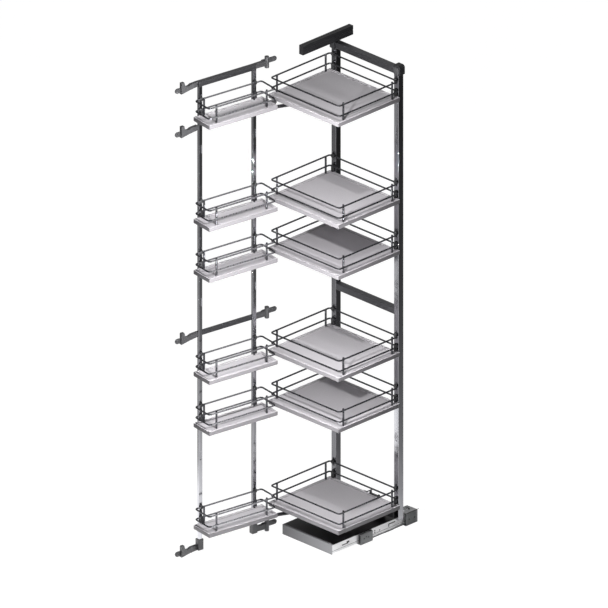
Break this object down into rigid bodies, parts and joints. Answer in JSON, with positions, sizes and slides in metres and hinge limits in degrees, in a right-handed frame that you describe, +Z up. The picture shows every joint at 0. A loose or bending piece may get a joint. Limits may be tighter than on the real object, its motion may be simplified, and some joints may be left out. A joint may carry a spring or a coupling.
{
  "type": "pull-out larder unit",
  "caption": "Pull-out larder unit: railed shelves on a sliding upright frame with floor runners and a top guide, linked to a railed shelf frame that hangs on the cabinet door.",
  "frame": {"origin": "on the cabinet floor under the flat tie, midway between the runners, in line with the front face of the sliding frame's uprights with the unit pulled out", "axes": "+X to the unit's right as seen from the front, +Y into the cabinet, +Z up. The door hinges on the left"},
  "size_m": [0.4147, 0.7968, 1.791],
  "materials": {
    "board": "melamine-faced",
    "wire": "polished",
    "zinc": "zinc plated",
    "black_profile": "satin",
    "black_sheet": "satin",
    "bright_sheet": "brushed",
    "foot_grey": "matt",
    "bracket_grey": "matt",
    "door_tube": "satin",
    "link_steel": "satin",
    "frame_tube": "satin metallic"
  },
  "bodies": {
    "cabinet_rails": {"base_tie": "zinc", "fixed_rail_left": "zinc", "fixed_rail_right": "zinc", "front_foot_left": "foot_grey", "front_foot_right": "foot_grey", "rear_foot_left": "foot_grey", "rear_foot_right": "foot_grey", "top_guide": "black_profile"},
    "slide_middle": {"middle_rail_left": "zinc", "middle_rail_right": "zinc"},
    "larder_frame": {"upright_left": "frame_tube", "upright_right": "frame_tube", "top_bar": "frame_tube", "middle_bar": "frame_tube", "foot_bar": "frame_tube", "corner_cap": "black_profile", "top_runner": "frame_tube", "moving_rail_left": "zinc", "moving_rail_right": "zinc", "runner_fascia": "bright_sheet", "runner_cover": "black_sheet", "deep_shelf_1": "board", "deep_shelf_2": "board", "deep_shelf_3": "board", "deep_shelf_4": "board", "deep_shelf_5": "board", "deep_shelf_6": "board", "deep_railing_1": "wire", "deep_railing_2": "wire", "deep_railing_3": "wire", "deep_railing_4": "wire", "deep_railing_5": "wire", "deep_railing_6": "wire"},
    "door_frame": {"door_post_free": "door_tube", "door_post_hinge": "door_tube", "door_bar_top": "frame_tube", "door_bar_middle": "frame_tube", "door_bracket_bottom_free": "bracket_grey", "door_bracket_bottom_hinge": "bracket_grey", "door_bracket_middle_free": "bracket_grey", "door_bracket_middle_hinge": "bracket_grey", "door_bracket_upper_free": "bracket_grey", "door_bracket_upper_hinge": "bracket_grey", "door_bracket_top_free": "bracket_grey", "door_bracket_top_hinge": "bracket_grey", "door_shelf_1": "board", "door_shelf_2": "board", "door_shelf_3": "board", "door_shelf_4": "board", "door_shelf_5": "board", "door_shelf_6": "board", "door_railing_1": "wire", "door_railing_2": "wire", "door_railing_3": "wire", "door_railing_4": "wire", "door_railing_5": "wire", "door_railing_6": "wire"},
    "link_lower": {"link_arm_lower": "link_steel"},
    "link_upper": {"link_arm_upper": "link_steel"}
  },
  "joints": [
    {"name": "door_swing", "type": "hinge", "parent": "cabinet_rails", "child": "door_frame", "pos_m": [-0.198, -0.2664, 0], "axis": [0, 0, 1], "range_deg": [0, 99.1]},
    {"name": "frame_slide", "type": "slide", "parent": "cabinet_rails", "child": "larder_frame", "axis": [0, 1, 0], "range_m": [0, 0.178]},
    {"name": "middle_slide", "type": "slide", "parent": "cabinet_rails", "child": "slide_middle", "axis": [0, 1, 0], "range_m": [0, 0.089]},
    {"name": "link_lower_swing", "type": "hinge", "parent": "larder_frame", "child": "link_lower", "pos_m": [-0.07135, -0.21467, 0.088], "axis": [0, 0, 1], "range_deg": [0, 8.6]},
    {"name": "link_upper_swing", "type": "hinge", "parent": "larder_frame", "child": "link_upper", "pos_m": [-0.07135, -0.21467, 1.624], "axis": [0, 0, 1], "range_deg": [0, 8.6]}
  ],
  "couplings": [
    {"joint": "frame_slide", "follows": "door_swing", "m_per_rad": 0.10227},
    {"joint": "middle_slide", "follows": "door_swing", "m_per_rad": 0.051134},
    {"joint": "link_lower_swing", "follows": "door_swing", "ratio": 0.085153},
    {"joint": "link_upper_swing", "follows": "door_swing", "ratio": 0.085153}
  ]
}
